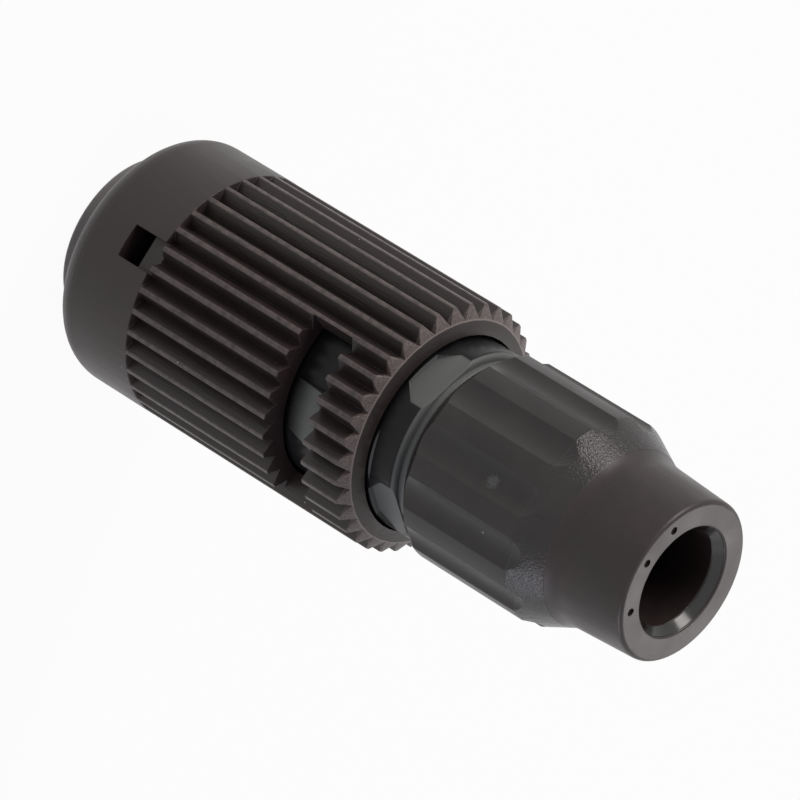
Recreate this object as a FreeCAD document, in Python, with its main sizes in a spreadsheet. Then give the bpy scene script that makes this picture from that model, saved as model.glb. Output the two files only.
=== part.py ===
import FreeCAD, Part
import math
import os
import re

import Sketcher

# A round in-line cable connector with socket contacts. It stands on its mating
# nose: +Z runs along the axis, from the nose face at z = 0 to the cable gland.
# One of the two index holes of the sleeve lies on the -Y side.

os.makedirs("parts", exist_ok=True)
doc = FreeCAD.newDocument("inline_socket_connector")

# Driving sizes: millimetres, and degrees where the name says angle.
SIZES = {
    # Body: nose, flange, barrel and threaded spigot
    "cavity_radius": 5.45,
    "nose_wall": 1.2,
    "nose_length": 8.95,
    "nose_rim": 0.9,
    "nose_rim_lip": 0.55,
    "nose_edge": 0.5,
    "flange_reach": 0.5,
    "flange_thickness": 0.8,
    "barrel_wall": 1.85,
    "barrel_tail": 2.45,
    "barrel_edge": 0.45,
    "web_thickness": 1.2,
    "spigot_step": 1.55,
    "spigot_wall": 0.9,
    "spigot_length": 8.15,
    "spigot_edge": 0.4,
    "cage_depth": 5.6,
    "cage_ledge": 0.75,
    "flat_count": 4,
    "flat_depth": 0.5,
    "flat_length": 2.35,
    "flat_end_width": 2.8,
    "flat_angle": 64,
    "stop_angle": 30,
    "stop_place_angle": -76,
    "stop_low": 0.1,
    "stop_high": 1.0,
    # Coupling sleeve
    "sleeve_wall": 2.0,
    "sleeve_front": 2.05,
    "sleeve_nose_gap": 1.4,
    "sleeve_front_round": 2.1,
    "sleeve_length": 29.4,
    "sleeve_clearance": 0.2,
    "front_band": 7.7,
    "knurl_depth": 1.0,
    "knurl_count": 36,
    "knurl_land": 0.3,
    "rear_bevel": 0.55,
    "rear_dish": 0.35,
    "window_rear_land": 4.25,
    "window_width": 3.75,
    "window_place_angle": -104.5,
    "window_angle": 96.5,
    "window_count": 2,
    "index_hole_place": 4.75,
    "index_hole_length": 1.45,
    "index_hole_width": 2.5,
    "index_slot_depth": 0.85,
    "lug_web": 0.15,
    "lug_length": 2.0,
    "lug_angle": 15,
    "lug_gap": 0.45,
    # Insert, retainer and snap ring
    "insert_recess": 0.3,
    "insert_length": 9.5,
    "insert_wall": 0.8,
    "fit_gap": 0.1,
    "index_notch": 0.5,
    "retainer_thickness": 1.5,
    "snap_thickness": 0.8,
    "snap_width": 0.8,
    "snap_depth": 0.3,
    "snap_gap_angle": 50,
    # Socket contacts
    "contact_count": 5,
    "contact_margin": 1.0,
    "contact_radius": 0.8,
    "pin_radius": 0.55,
    "pin_depth": 6.0,
    "entry_radius": 0.65,
    "collar_step": 0.45,
    "collar_length": 1.0,
    "hood_wall": 0.12,
    "hood_length": 5.0,
    "slit_width": 0.25,
    "slit_length": 4.2,
    "cup_length": 3.0,
    "cup_radius": 0.55,
    # Seals and rings
    "nose_seal_land": 0.7,
    "nose_seal_width": 1.2,
    "nose_seal_thickness": 1.1,
    "nose_seal_stand": 0.35,
    "gasket_thickness": 0.5,
    "washer_thickness": 0.5,
    "drag_seal_land": 3.0,
    "drag_seal_width": 1.3,
    "drag_seal_thickness": 1.2,
    "spigot_seal_land": 1.05,
    "spigot_seal_width": 1.2,
    "spigot_seal_thickness": 0.9,
    "spigot_seal_stand": 0.25,
    "collar_inset": 0.6,
    "collar_height": 0.55,
    "collar_round": 0.3,
    # Gland: cage, cable seal, thrust washer and nut
    "cage_length": 9.1,
    "cage_wall": 0.8,
    "cage_lip": 0.75,
    "cage_floor": 1.2,
    "cage_ring": 2.6,
    "cage_slot": 0.9,
    "cage_slots": 8,
    "cage_tip": 0.5,
    "seal_wall": 1.1,
    "seal_recess": 0.2,
    "seal_groove": 0.4,
    "seal_lead": 0.6,
    "thrust_gap": 0.3,
    "thrust_thickness": 0.6,
    "thrust_inset": 1.05,
    "nut_gap": 0.15,
    "nut_wall": 2.05,
    "nut_bevel": 0.95,
    "grip_overrun": 0.6,
    "cone_length": 3.15,
    "neck_length": 5.85,
    "neck_step": 1.5,
    "neck_taper": 0.35,
    "neck_blend": 3.5,
    "neck_round": 0.35,
    "thread_clearance": 0.1,
    "thread_short": 1.0,
    "mouth_clearance": 0.1,
    "flute_count": 12,
    "flute_radius": 2.25,
    "flute_depth": 0.47,
    "flute_place_angle": 6,
    "cable_play": 0.9,
    "bore_cone_length": 4.5,
    "cable_mouth_step": 0.49,
    "cable_mouth_depth": 0.7,
    "pit_radius": 0.28,
    "pit_depth": 0.2,
    "pit_inset": 0.91,
}

sheet = doc.addObject("Spreadsheet::Sheet", "Sizes")
for row, (alias, size) in enumerate(SIZES.items(), start=1):
    sheet.set("A%d" % row, alias)
    sheet.set("B%d" % row, str(size))
    sheet.setAlias("B%d" % row, alias)
doc.recompute()

# Radii and heights that several pieces share, worked out from the driving sizes.
SHARED = {
    "nose_radius": "cavity_radius + nose_wall",
    "nose_rim_bore": "cavity_radius - nose_rim_lip",
    "barrel_radius": "cavity_radius + barrel_wall",
    "flange_radius": "barrel_radius + flange_reach",
    "flange_end": "nose_length + flange_thickness",
    "sleeve_bore": "barrel_radius + sleeve_clearance",
    "sleeve_radius": "sleeve_bore + sleeve_wall",
    "sleeve_front_bore": "nose_radius + sleeve_nose_gap",
    "sleeve_end": "sleeve_front + sleeve_length",
    "shoulder": "flange_end + washer_thickness + sleeve_clearance",
    "knurl_root": "sleeve_radius - knurl_depth",
    "knurl_start": "sleeve_front + front_band",
    "rim_half": "sleeve_radius * sin(180 / knurl_count) - knurl_land / 2",
    "window_front": "sleeve_end - window_rear_land - window_width",
    "index_hole_front": "sleeve_front + index_hole_place",
    "half_hole": "index_hole_width / 2",
    "lug_front": "index_hole_front - lug_web - lug_length",
    "lug_radius": "nose_radius + lug_gap",
    "barrel_end": "sleeve_end + barrel_tail",
    "nose_seal_place": "nose_length - nose_seal_land - nose_seal_width",
    "nose_seal_outer": "nose_radius + nose_seal_stand",
    "drag_seal_place": "shoulder + drag_seal_land",
    "drag_seal_outer": "barrel_radius + sleeve_clearance / 4",
    "insert_radius": "cavity_radius - fit_gap",
    "insert_end": "insert_recess + insert_length",
    "retainer_end": "insert_end + retainer_thickness",
    "contact_front": "insert_recess + insert_wall",
    "collar_front": "insert_end - collar_length",
    "contact_turn": "180 / contact_count - 90",
    "contact_collar": "contact_radius + collar_step",
    "contact_circle": "insert_radius - contact_collar - contact_margin",
    "hood_radius": "contact_radius + hood_wall",
    "tail_end": "retainer_end + cup_length",
    "spigot_radius": "barrel_radius - spigot_step",
    "spigot_end": "barrel_end + spigot_length",
    "spigot_bore": "spigot_radius - spigot_wall",
    "spigot_seal_place": "barrel_end + spigot_seal_land",
    "spigot_seal_outer": "spigot_radius + spigot_seal_stand",
    "wire_bore": "spigot_bore - cage_ledge",
    "collar_radius": "barrel_radius - collar_inset",
    "collar_end": "barrel_end + collar_height",
    "seat": "spigot_end - cage_depth",
    "cage_radius": "spigot_bore - fit_gap",
    "cage_bore": "cage_radius - cage_wall",
    "cage_hole": "cage_bore - cage_lip",
    "cage_end": "seat + cage_length",
    "seal_radius": "cage_bore - fit_gap",
    "seal_bore": "seal_radius - seal_wall",
    "seal_start": "seat + cage_floor",
    "seal_end": "cage_end - seal_recess",
    "seal_step": "(seal_end - seal_start) / 6",
    "thread_radius": "spigot_radius + thread_clearance",
    "thread_end": "cage_end - thread_short",
    "thrust_start": "cage_end + thrust_gap",
    "nut_start": "collar_end + nut_gap",
    "nut_radius": "thread_radius + nut_wall",
    "nut_face": "nut_radius - nut_bevel",
    "nut_mouth": "spigot_seal_outer + mouth_clearance",
    "nut_mouth_end": "spigot_seal_place + spigot_seal_width + 2 * nut_gap",
    "grip_end": "thread_end + grip_overrun",
    "cone_end": "grip_end + cone_length",
    "nut_end": "cone_end + neck_length",
    "neck_radius": "nut_radius - neck_step",
    "neck_tip_radius": "neck_radius - neck_taper",
    "cable_bore": "seal_bore + cable_play",
    "cable_mouth": "cable_bore + cable_mouth_step",
}


def bound(text):
    """The expression in the sheet's names, with each shared size written out."""
    def spelled(match):
        name = match.group(0)
        return "(%s)" % bound(SHARED[name]) if name in SHARED else "Sizes." + name
    return re.sub(r"\b(?!cos\b|sin\b|sqrt\b)[a-z]\w*", spelled, text)


def value(text):
    """The number that an expression of size names gives now."""
    return float(sheet.evalExpression(bound(text)))


def add_body(name):
    body = doc.addObject("PartDesign::Body", name)
    body.Label = name
    return body


def origin_part(body, role):
    return next(item for item in body.Origin.OriginFeatures if item.Role == role)


def add_sketch(body, role, name, turn="0", lift="0"):
    """A sketch on an origin plane, turned about Z and then lifted along its normal."""
    sketch = body.newObject("Sketcher::SketchObject", name)
    sketch.AttachmentSupport = [(origin_part(body, role), "")]
    sketch.MapMode = "FlatFace"
    level = role == "XY_Plane"
    spin_axis = FreeCAD.Vector(0, 0, 1) if level else FreeCAD.Vector(0, 1, 0)
    sketch.AttachmentOffset = FreeCAD.Placement(
        FreeCAD.Vector(0, 0, 0), FreeCAD.Rotation(spin_axis, 1)
    )
    sketch.setExpression("AttachmentOffset.Rotation.Angle", bound(turn))
    if level:
        sketch.setExpression("AttachmentOffset.Base.z", bound(lift))
    else:
        sketch.setExpression("AttachmentOffset.Base.x", bound("(%s) * sin(%s)" % (lift, turn)))
        sketch.setExpression("AttachmentOffset.Base.z", bound("(%s) * cos(%s)" % (lift, turn)))
    return sketch


def arc_between(start, end, radius):
    """The short arc from start to end, bulging to the right of that way."""
    chord = end - start
    rise = radius - math.sqrt(radius ** 2 - (chord.Length / 2) ** 2)
    side = FreeCAD.Vector(chord.y, -chord.x, 0).normalize()
    return Part.Arc(start, (start + end) / 2 + side * rise, end)


def outline(sketch, corners):
    """A closed outline through corners (x, y), or (x, y, radius of the arc that follows)."""
    spots = [FreeCAD.Vector(value(c[0]), value(c[1]), 0) for c in corners]
    for index, corner in enumerate(corners):
        start = spots[index]
        end = spots[(index + 1) % len(spots)]
        if len(corner) == 3:
            sketch.addGeometry(arc_between(start, end, value(corner[2])), False)
        else:
            sketch.addGeometry(Part.LineSegment(start, end), False)
    ends = [edge_ends(sketch, index, spots) for index in range(len(corners))]
    for index, corner in enumerate(corners):
        after = (index + 1) % len(corners)
        sketch.addConstraint(
            Sketcher.Constraint("Coincident", index, ends[index][1], after, ends[after][0])
        )
        for kind, text in (("DistanceX", corner[0]), ("DistanceY", corner[1])):
            number = sketch.addConstraint(
                Sketcher.Constraint(kind, -1, 1, index, ends[index][0], value(text))
            )
            sketch.setExpression("Constraints[%d]" % number, bound(text))
        if len(corner) == 3:
            number = sketch.addConstraint(Sketcher.Constraint("Radius", index, value(corner[2])))
            sketch.setExpression("Constraints[%d]" % number, bound(corner[2]))
    return sketch


def edge_ends(sketch, index, spots):
    """The sketcher's numbers of the edge ends at the outline's corner and after it."""
    first = sketch.getPoint(index, 1)
    return (1, 2) if first.distanceToPoint(spots[index]) < 1e-6 else (2, 1)


def add_circle(sketch, centre_x, radius):
    """A circle on the sketch's own X axis, its centre and radius bound to sizes."""
    middle = FreeCAD.Vector(value(centre_x), 0, 0)
    circle = Part.Circle(middle, FreeCAD.Vector(0, 0, 1), value(radius))
    index = sketch.addGeometry(circle, False)
    sketch.addConstraint(Sketcher.Constraint("PointOnObject", index, 3, -1))
    number = sketch.addConstraint(Sketcher.Constraint("DistanceX", -1, 1, index, 3, middle.x))
    sketch.setExpression("Constraints[%d]" % number, bound(centre_x))
    number = sketch.addConstraint(Sketcher.Constraint("Radius", index, value(radius)))
    sketch.setExpression("Constraints[%d]" % number, bound(radius))
    return sketch


def turned(body, name, corners, kind="Revolution", start="0", sweep="360"):
    """A revolution or groove of an outline given as (radius, height) corners."""
    sketch = outline(add_sketch(body, "XZ_Plane", name + "_outline", turn=start), corners)
    feature = body.newObject("PartDesign::" + kind, name)
    feature.Profile = sketch
    feature.ReferenceAxis = (sketch, ["V_Axis"])
    feature.setExpression("Angle", bound(sweep))
    body.Tip = feature
    doc.recompute()
    return feature


def block(radius, low, high, inner="0"):
    """The corners of a plain ring or disc between two heights."""
    return [(inner, low), (radius, low), (radius, high), (inner, high)]


def cut_along(body, name, sketch, length):
    """A pocket from a sketch along the sketch's own normal."""
    doc.recompute()
    before = body.Shape.Volume
    feature = body.newObject("PartDesign::Pocket", name)
    feature.Profile = sketch
    feature.setExpression("Length", bound(length))
    feature.Reversed = True
    body.Tip = feature
    doc.recompute()
    if body.Shape.Volume > before - 1e-4:
        raise RuntimeError(name + " cuts nothing")
    return feature


def repeat(body, name, features, count):
    """Copies of features, evenly spaced about Z."""
    pattern = body.newObject("PartDesign::PolarPattern", name)
    pattern.Originals = features
    pattern.Axis = (origin_part(body, "Z_Axis"), [""])
    pattern.Angle = 360
    pattern.setExpression("Occurrences", bound(count))
    body.Tip = pattern
    doc.recompute()
    return pattern


def rims(body, radius, height):
    """The names of the circular edges at a radius and height."""
    names = []
    for number, edge in enumerate(body.Shape.Edges, start=1):
        if isinstance(edge.Curve, Part.Circle):
            same_radius = abs(edge.Curve.Radius - value(radius)) < 1e-5
            same_height = abs(edge.Curve.Center.z - value(height)) < 1e-5
            on_axis = math.hypot(edge.Curve.Center.x, edge.Curve.Center.y) < 1e-5
            if same_radius and same_height and on_axis:
                names.append("Edge%d" % number)
    return names


def round_rims(body, name, spots, radius):
    """A fillet on the circular edges at each (radius, height) spot."""
    edges = [edge for spot in spots for edge in rims(body, *spot)]
    base = body.Tip
    feature = body.newObject("PartDesign::Fillet", name)
    feature.Base = (base, edges)
    feature.setExpression("Radius", bound(radius))
    body.Tip = feature
    doc.recompute()
    return feature


def seal_ring(name, place, width, outer, thickness):
    """A round-section ring, centred in its groove."""
    ring = doc.addObject("Part::Torus", name)
    ring.Label = name
    ring.setExpression("Radius2", bound("%s / 2" % thickness))
    ring.setExpression("Radius1", bound("%s - %s / 2" % (outer, thickness)))
    ring.setExpression("Placement.Base.z", bound("%s + %s / 2" % (place, width)))
    return ring


# Connector body: round nose, flange, barrel, wrench flats, thread spigot
body = add_body("connector_body")
turned(body, "body_shell", [
    ("nose_rim_bore", "0"),
    ("nose_radius", "0"),
    ("nose_radius", "nose_seal_place"),
    ("nose_seal_outer - nose_seal_thickness", "nose_seal_place"),
    ("nose_seal_outer - nose_seal_thickness", "nose_seal_place + nose_seal_width"),
    ("nose_radius", "nose_seal_place + nose_seal_width"),
    ("nose_radius", "nose_length"),
    ("flange_radius", "nose_length"),
    ("flange_radius", "flange_end"),
    ("barrel_radius", "flange_end"),
    ("barrel_radius", "drag_seal_place"),
    ("drag_seal_outer - drag_seal_thickness", "drag_seal_place"),
    ("drag_seal_outer - drag_seal_thickness",
     "drag_seal_place + drag_seal_width"),
    ("barrel_radius", "drag_seal_place + drag_seal_width"),
    ("barrel_radius", "barrel_end"),
    ("spigot_radius", "barrel_end"),
    ("spigot_radius", "spigot_seal_place"),
    ("spigot_seal_outer - spigot_seal_thickness", "spigot_seal_place"),
    ("spigot_seal_outer - spigot_seal_thickness", "spigot_seal_place + spigot_seal_width"),
    ("spigot_radius", "spigot_seal_place + spigot_seal_width"),
    ("spigot_radius", "spigot_end - spigot_edge"),
    ("spigot_radius - spigot_edge", "spigot_end"),
    ("spigot_bore", "spigot_end"),
    ("spigot_bore", "seat"),
    ("wire_bore", "seat"),
    ("wire_bore", "barrel_end - web_thickness"),
    ("cavity_radius", "barrel_end - web_thickness"),
    ("cavity_radius", "retainer_end + snap_thickness"),
    ("cavity_radius + snap_depth", "retainer_end + snap_thickness"),
    ("cavity_radius + snap_depth", "retainer_end"),
    ("cavity_radius", "retainer_end"),
    ("cavity_radius", "nose_rim"),
    ("nose_rim_bore", "nose_rim"),
])
round_rims(body, "nose_rounding", [("nose_radius", "0")], "nose_edge")
round_rims(body, "barrel_rounding", [("barrel_radius", "barrel_end")], "barrel_edge")

# Ramped stops stand in the sleeve's windows: they hold it and limit its turn
stop = turned(body, "stop", [
    ("barrel_radius - stop_low", "window_front + sleeve_clearance"),
    ("barrel_radius + stop_low", "window_front + sleeve_clearance"),
    ("barrel_radius + stop_high", "window_front + window_width - sleeve_clearance"),
    ("barrel_radius - stop_low", "window_front + window_width - sleeve_clearance"),
], start="stop_place_angle", sweep="stop_angle")
repeat(body, "stops", [stop], "window_count")

# Wrench flats behind the sleeve: sunk faces whose corners are cut at 45 degrees
flat_sketch = outline(
    add_sketch(body, "XZ_Plane", "flat_outline", turn="flat_angle",
               lift="barrel_radius - flat_depth"), [
        ("-flat_end_width / 2", "barrel_end - flat_length"),
        ("flat_end_width / 2", "barrel_end - flat_length"),
        ("flat_end_width / 2 + flat_length + flat_depth", "barrel_end + flat_depth"),
        ("-flat_end_width / 2 - flat_length - flat_depth", "barrel_end + flat_depth"),
    ])
flat = cut_along(body, "flat", flat_sketch, "2 * flat_depth")
repeat(body, "flats", [flat], "flat_count")

# Coupling sleeve: a knurled ring with two windows and two bayonet lugs
sleeve = add_body("coupling_sleeve")
turned(sleeve, "sleeve_shell", [
    ("sleeve_front_bore",
     "sleeve_front + sleeve_front_round - sqrt(sleeve_front_round ^ 2"
     " - (sleeve_front_bore + sleeve_front_round - sleeve_radius) ^ 2)",
     "sleeve_front_round"),
    ("sleeve_radius", "sleeve_front + sleeve_front_round"),
    ("sleeve_radius", "sleeve_end - rear_bevel - rear_dish"),
    ("knurl_root", "sleeve_end - rear_dish"),
    ("sleeve_bore", "sleeve_end"),
    ("sleeve_bore", "shoulder"),
    ("sleeve_front_bore", "shoulder"),
])

lug = turned(sleeve, "lug", [
    ("lug_radius", "lug_front"),
    ("sleeve_front_bore + fit_gap", "lug_front"),
    ("sleeve_front_bore + fit_gap", "lug_front + lug_length"),
    ("lug_radius", "lug_front + lug_length"),
], start="-90 - lug_angle / 2", sweep="lug_angle")
repeat(sleeve, "lugs", [lug], "window_count")

# The index hole is the opening that the lug's mould core leaves behind it
hole_sketch = outline(add_sketch(sleeve, "XZ_Plane", "index_hole_outline"), [
    ("-half_hole", "index_hole_front"),
    ("half_hole", "index_hole_front"),
    ("half_hole", "index_hole_front + index_hole_length"),
    ("-half_hole", "index_hole_front + index_hole_length"),
])
hole = cut_along(sleeve, "index_hole", hole_sketch, "2 * sleeve_radius")
slot_sketch = outline(
    add_sketch(sleeve, "XY_Plane", "index_slot_outline", turn="-90", lift="index_hole_front"), [
        ("sleeve_radius - index_slot_depth", "-half_hole"),
        ("sleeve_radius + index_slot_depth", "-half_hole"),
        ("sleeve_radius + index_slot_depth", "half_hole"),
        ("sleeve_radius - index_slot_depth", "half_hole"),
    ])
slot = cut_along(sleeve, "index_slot", slot_sketch, "knurl_start - index_hole_front + fit_gap")
repeat(sleeve, "index_holes", [hole, slot], "window_count")

window = turned(sleeve, "window", [
    ("sleeve_bore - sleeve_clearance", "window_front"),
    ("sleeve_radius + sleeve_clearance", "window_front"),
    ("sleeve_radius + sleeve_clearance", "window_front + window_width"),
    ("sleeve_bore - sleeve_clearance", "window_front + window_width"),
], kind="Groove", start="window_place_angle", sweep="window_angle")
repeat(sleeve, "windows", [window], "window_count")

# V grooves, evenly round from the -Y side, leave ridges with narrow lands
knurl_sketch = outline(
    add_sketch(sleeve, "XY_Plane", "knurl_outline", turn="-90", lift="knurl_start"), [
        ("knurl_root", "0"),
        ("sleeve_radius + knurl_depth", "-2 * rim_half"),
        ("sleeve_radius + knurl_depth", "2 * rim_half"),
    ])
knurl = cut_along(sleeve, "knurl_groove", knurl_sketch, "sleeve_end - knurl_start")
repeat(sleeve, "knurl", [knurl], "knurl_count")

# Insulating insert: the moulded block that holds the contacts
insert = add_body("contact_insert")
turned(insert, "insert_block", [
    ("0", "insert_recess"),
    ("nose_rim_bore - fit_gap", "insert_recess"),
    ("nose_rim_bore - fit_gap", "nose_rim"),
    ("insert_radius", "nose_rim"),
    ("insert_radius", "insert_end"),
    ("0", "insert_end"),
])
entry_sketch = add_circle(
    add_sketch(insert, "XY_Plane", "entry_outline", turn="contact_turn"),
    "contact_circle", "entry_radius")
entry = cut_along(insert, "pin_entry", entry_sketch, "insert_end")
cell_sketch = add_circle(
    add_sketch(insert, "XY_Plane", "cell_outline", turn="contact_turn", lift="contact_front"),
    "contact_circle", "hood_radius + fit_gap / 2")
cell = cut_along(insert, "contact_cell", cell_sketch, "insert_end")
step_sketch = add_circle(
    add_sketch(insert, "XY_Plane", "step_outline", turn="contact_turn", lift="collar_front"),
    "contact_circle", "contact_collar + fit_gap / 2")
step = cut_along(insert, "collar_step_cut", step_sketch, "collar_length")
repeat(insert, "cells", [entry, cell, step], "contact_count")
notch_sketch = add_circle(
    add_sketch(insert, "XY_Plane", "notch_outline", turn="90"),
    "nose_rim_bore - fit_gap", "index_notch")
cut_along(insert, "index_notch_cut", notch_sketch, "nose_rim")

# Retainer plate behind the insert, with a hole for each contact's tail
retainer = add_body("contact_retainer")
turned(retainer, "retainer_plate", block("insert_radius", "insert_end", "retainer_end"))
tail_sketch = add_circle(
    add_sketch(retainer, "XY_Plane", "tail_outline", turn="contact_turn", lift="insert_end"),
    "contact_circle", "contact_radius + fit_gap / 2")
tail = cut_along(retainer, "tail_hole", tail_sketch, "retainer_thickness")
repeat(retainer, "tail_holes", [tail], "contact_count")

# Open snap ring, sprung into the body's inner groove behind the retainer
snap = add_body("insert_snap_ring")
turned(snap, "snap_wire", block(
    "cavity_radius + snap_depth", "retainer_end", "retainer_end + snap_thickness",
    inner="cavity_radius + snap_depth - snap_width",
), start="90 + snap_gap_angle / 2", sweep="360 - snap_gap_angle")

# Socket contacts: a slit tube at the front and a solder cup at the back
for number in range(1, round(value("contact_count")) + 1):
    contact = add_body("socket_contact_%d" % number)
    turned(contact, "contact_turning_%d" % number, [
        ("pin_radius", "contact_front"),
        ("contact_radius", "contact_front"),
        ("contact_radius", "collar_front"),
        ("contact_collar", "collar_front"),
        ("contact_collar", "insert_end"),
        ("contact_radius", "insert_end"),
        ("contact_radius", "tail_end"),
        ("cup_radius", "tail_end"),
        ("cup_radius", "tail_end - cup_length"),
        ("0", "tail_end - cup_length"),
        ("0", "contact_front + pin_depth"),
        ("pin_radius", "contact_front + pin_depth"),
    ])
    slit_sketch = outline(
        add_sketch(contact, "XY_Plane", "slit_outline_%d" % number, lift="contact_front"), [
            ("-2 * contact_radius", "-slit_width / 2"),
            ("2 * contact_radius", "-slit_width / 2"),
            ("2 * contact_radius", "slit_width / 2"),
            ("-2 * contact_radius", "slit_width / 2"),
        ])
    cut_along(contact, "slit_%d" % number, slit_sketch, "slit_length")
    cup_sketch = outline(
        add_sketch(contact, "XY_Plane", "cup_outline_%d" % number,
                   lift="tail_end - 2 * cup_length / 3"), [
            ("0", "-2 * contact_radius"),
            ("2 * contact_radius", "-2 * contact_radius"),
            ("2 * contact_radius", "2 * contact_radius"),
            ("0", "2 * contact_radius"),
        ])
    cut_along(contact, "cup_side_%d" % number, cup_sketch, "cup_length")
    hood = add_body("contact_hood_%d" % number)
    turned(hood, "hood_tube_%d" % number, block(
        "hood_radius", "contact_front", "contact_front + hood_length", inner="contact_radius"))
    bearing = "(contact_turn + 360 * %d / contact_count)" % (number - 1)
    for piece in (contact, hood):
        piece.setExpression("Placement.Base.x", bound("contact_circle * cos(%s)" % bearing))
        piece.setExpression("Placement.Base.y", bound("contact_circle * sin(%s)" % bearing))
        piece.Placement.Rotation = FreeCAD.Rotation(FreeCAD.Vector(0, 0, 1), 1)
        piece.setExpression("Placement.Rotation.Angle", bound(bearing))

# Seals of the body, in its three grooves
seal_ring("nose_seal_ring", "nose_seal_place", "nose_seal_width",
          "nose_seal_outer", "nose_seal_thickness")
seal_ring("sleeve_drag_ring", "drag_seal_place", "drag_seal_width",
          "drag_seal_outer", "drag_seal_thickness")
seal_ring("spigot_seal_ring", "spigot_seal_place", "spigot_seal_width",
          "spigot_seal_outer", "spigot_seal_thickness")

# Flat rings: face gasket, slide washer, and the collar before the nut
gasket = add_body("flange_gasket")
turned(gasket, "gasket_ring", block(
    "flange_radius", "nose_length - gasket_thickness", "nose_length",
    inner="nose_radius"))
washer = add_body("slide_washer")
turned(washer, "washer_ring", block(
    "flange_radius", "flange_end", "flange_end + washer_thickness",
    inner="barrel_radius"))
collar = add_body("seal_collar")
turned(collar, "collar_ring", block(
    "collar_radius", "barrel_end", "collar_end", inner="spigot_radius"))
round_rims(collar, "collar_rounding", [("collar_radius", "collar_end")], "collar_round")

# Clamp cage: a ring with sprung fingers that the nut's cone presses together
cage = add_body("clamp_cage")
turned(cage, "cage_shell", [
    ("cage_hole", "seat"),
    ("cage_radius", "seat"),
    ("cage_radius", "cage_end - cage_tip"),
    ("cage_radius - cage_tip", "cage_end"),
    ("cage_bore", "cage_end"),
    ("cage_bore", "seal_start"),
    ("cage_hole", "seal_start"),
])
slot_outline = outline(
    add_sketch(cage, "XY_Plane", "finger_slot_outline", lift="seat + cage_ring"), [
        ("cage_hole", "-cage_slot / 2"),
        ("2 * cage_radius", "-cage_slot / 2"),
        ("2 * cage_radius", "cage_slot / 2"),
        ("cage_hole", "cage_slot / 2"),
    ])
finger_slot = cut_along(cage, "finger_slot", slot_outline, "cage_length")
repeat(cage, "finger_slots", [finger_slot], "cage_slots")

# Cable seal: a rubber bush with a lead-in at each end and sealing ribs
cable_seal = add_body("cable_seal")
turned(cable_seal, "seal_bush", [
    ("seal_bore + seal_lead", "seal_start"),
    ("seal_radius", "seal_start"),
    ("seal_radius", "seal_end"),
    ("seal_bore + seal_lead", "seal_end"),
    ("seal_bore", "seal_end - seal_lead"),
    ("seal_bore", "seal_start + 4 * seal_step"),
    ("seal_bore + seal_groove", "seal_start + 3.5 * seal_step"),
    ("seal_bore", "seal_start + 3 * seal_step"),
    ("seal_bore + seal_groove", "seal_start + 2.5 * seal_step"),
    ("seal_bore", "seal_start + 2 * seal_step"),
    ("seal_bore", "seal_start + seal_lead"),
])

# Thrust washer between the cage's finger tips and the nut's cone
thrust = add_body("thrust_washer")
turned(thrust, "thrust_ring", block(
    "thread_radius - thrust_inset", "thrust_start", "thrust_start + thrust_thickness",
    inner="cable_bore + fit_gap"))

# Gland nut: fluted grip, cone and tapered neck round the cable bore
nut = add_body("gland_nut")
turned(nut, "nut_shell", [
    ("nut_mouth", "nut_start"),
    ("nut_face", "nut_start"),
    ("nut_radius", "nut_start + nut_bevel"),
    ("nut_radius", "grip_end"),
    ("neck_radius", "cone_end"),
    ("neck_tip_radius", "nut_end"),
    ("cable_mouth", "nut_end"),
    ("cable_mouth", "nut_end - cable_mouth_depth"),
    ("cable_bore", "nut_end - cable_mouth_depth"),
    ("cable_bore", "thread_end + bore_cone_length"),
    ("thread_radius", "thread_end"),
    ("thread_radius", "nut_mouth_end"),
    ("nut_mouth", "nut_mouth_end"),
])
round_rims(nut, "neck_blending", [("neck_radius", "cone_end")], "neck_blend")
round_rims(nut, "neck_rounding", [("neck_tip_radius", "nut_end")], "neck_round")
round_rims(nut, "mouth_rounding", [("cable_mouth", "nut_end")], "neck_round / 2")
round_rims(nut, "bore_rounding",
           [("cable_bore", "nut_end - cable_mouth_depth")], "neck_round / 2")
flute_sketch = add_circle(
    add_sketch(nut, "XY_Plane", "flute_outline", turn="flute_place_angle", lift="nut_start"),
    "nut_radius - flute_depth + flute_radius", "flute_radius")
flute = cut_along(nut, "flute", flute_sketch, "cone_end - nut_start")
repeat(nut, "flutes", [flute], "flute_count")

# Three small mould pits on the nut's end face, set by hand as on the real one
for number, bearing in enumerate((-121, -88, -46), start=1):
    pit_sketch = add_circle(
        add_sketch(nut, "XY_Plane", "pit_outline_%d" % number, turn=str(bearing),
                   lift="nut_end - pit_depth"), "cable_mouth + pit_inset", "pit_radius")
    cut_along(nut, "pit_%d" % number, pit_sketch, "2 * pit_depth")

# Checks, then one file for each piece
doc.recompute()
for item in doc.Objects:
    if "Invalid" in item.State or "Error" in item.State:
        raise RuntimeError("%s failed: %s" % (item.Name, item.State))
pieces = [
    item for item in doc.Objects
    if item.TypeId in ("PartDesign::Body", "Part::Torus")
]
for piece in pieces:
    shape = piece.Shape
    if shape.isNull() or not shape.isValid() or len(shape.Solids) != 1:
        raise RuntimeError("%s has no single valid solid" % piece.Label)
for piece in pieces:
    piece.Shape.exportStep("parts/%s.step" % piece.Label)
    print("%-22s %9.3f mm3" % (piece.Label, piece.Shape.Volume))
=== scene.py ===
from math import cos, pi, radians, sin

import bmesh
import bpy
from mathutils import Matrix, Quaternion, Vector


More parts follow.
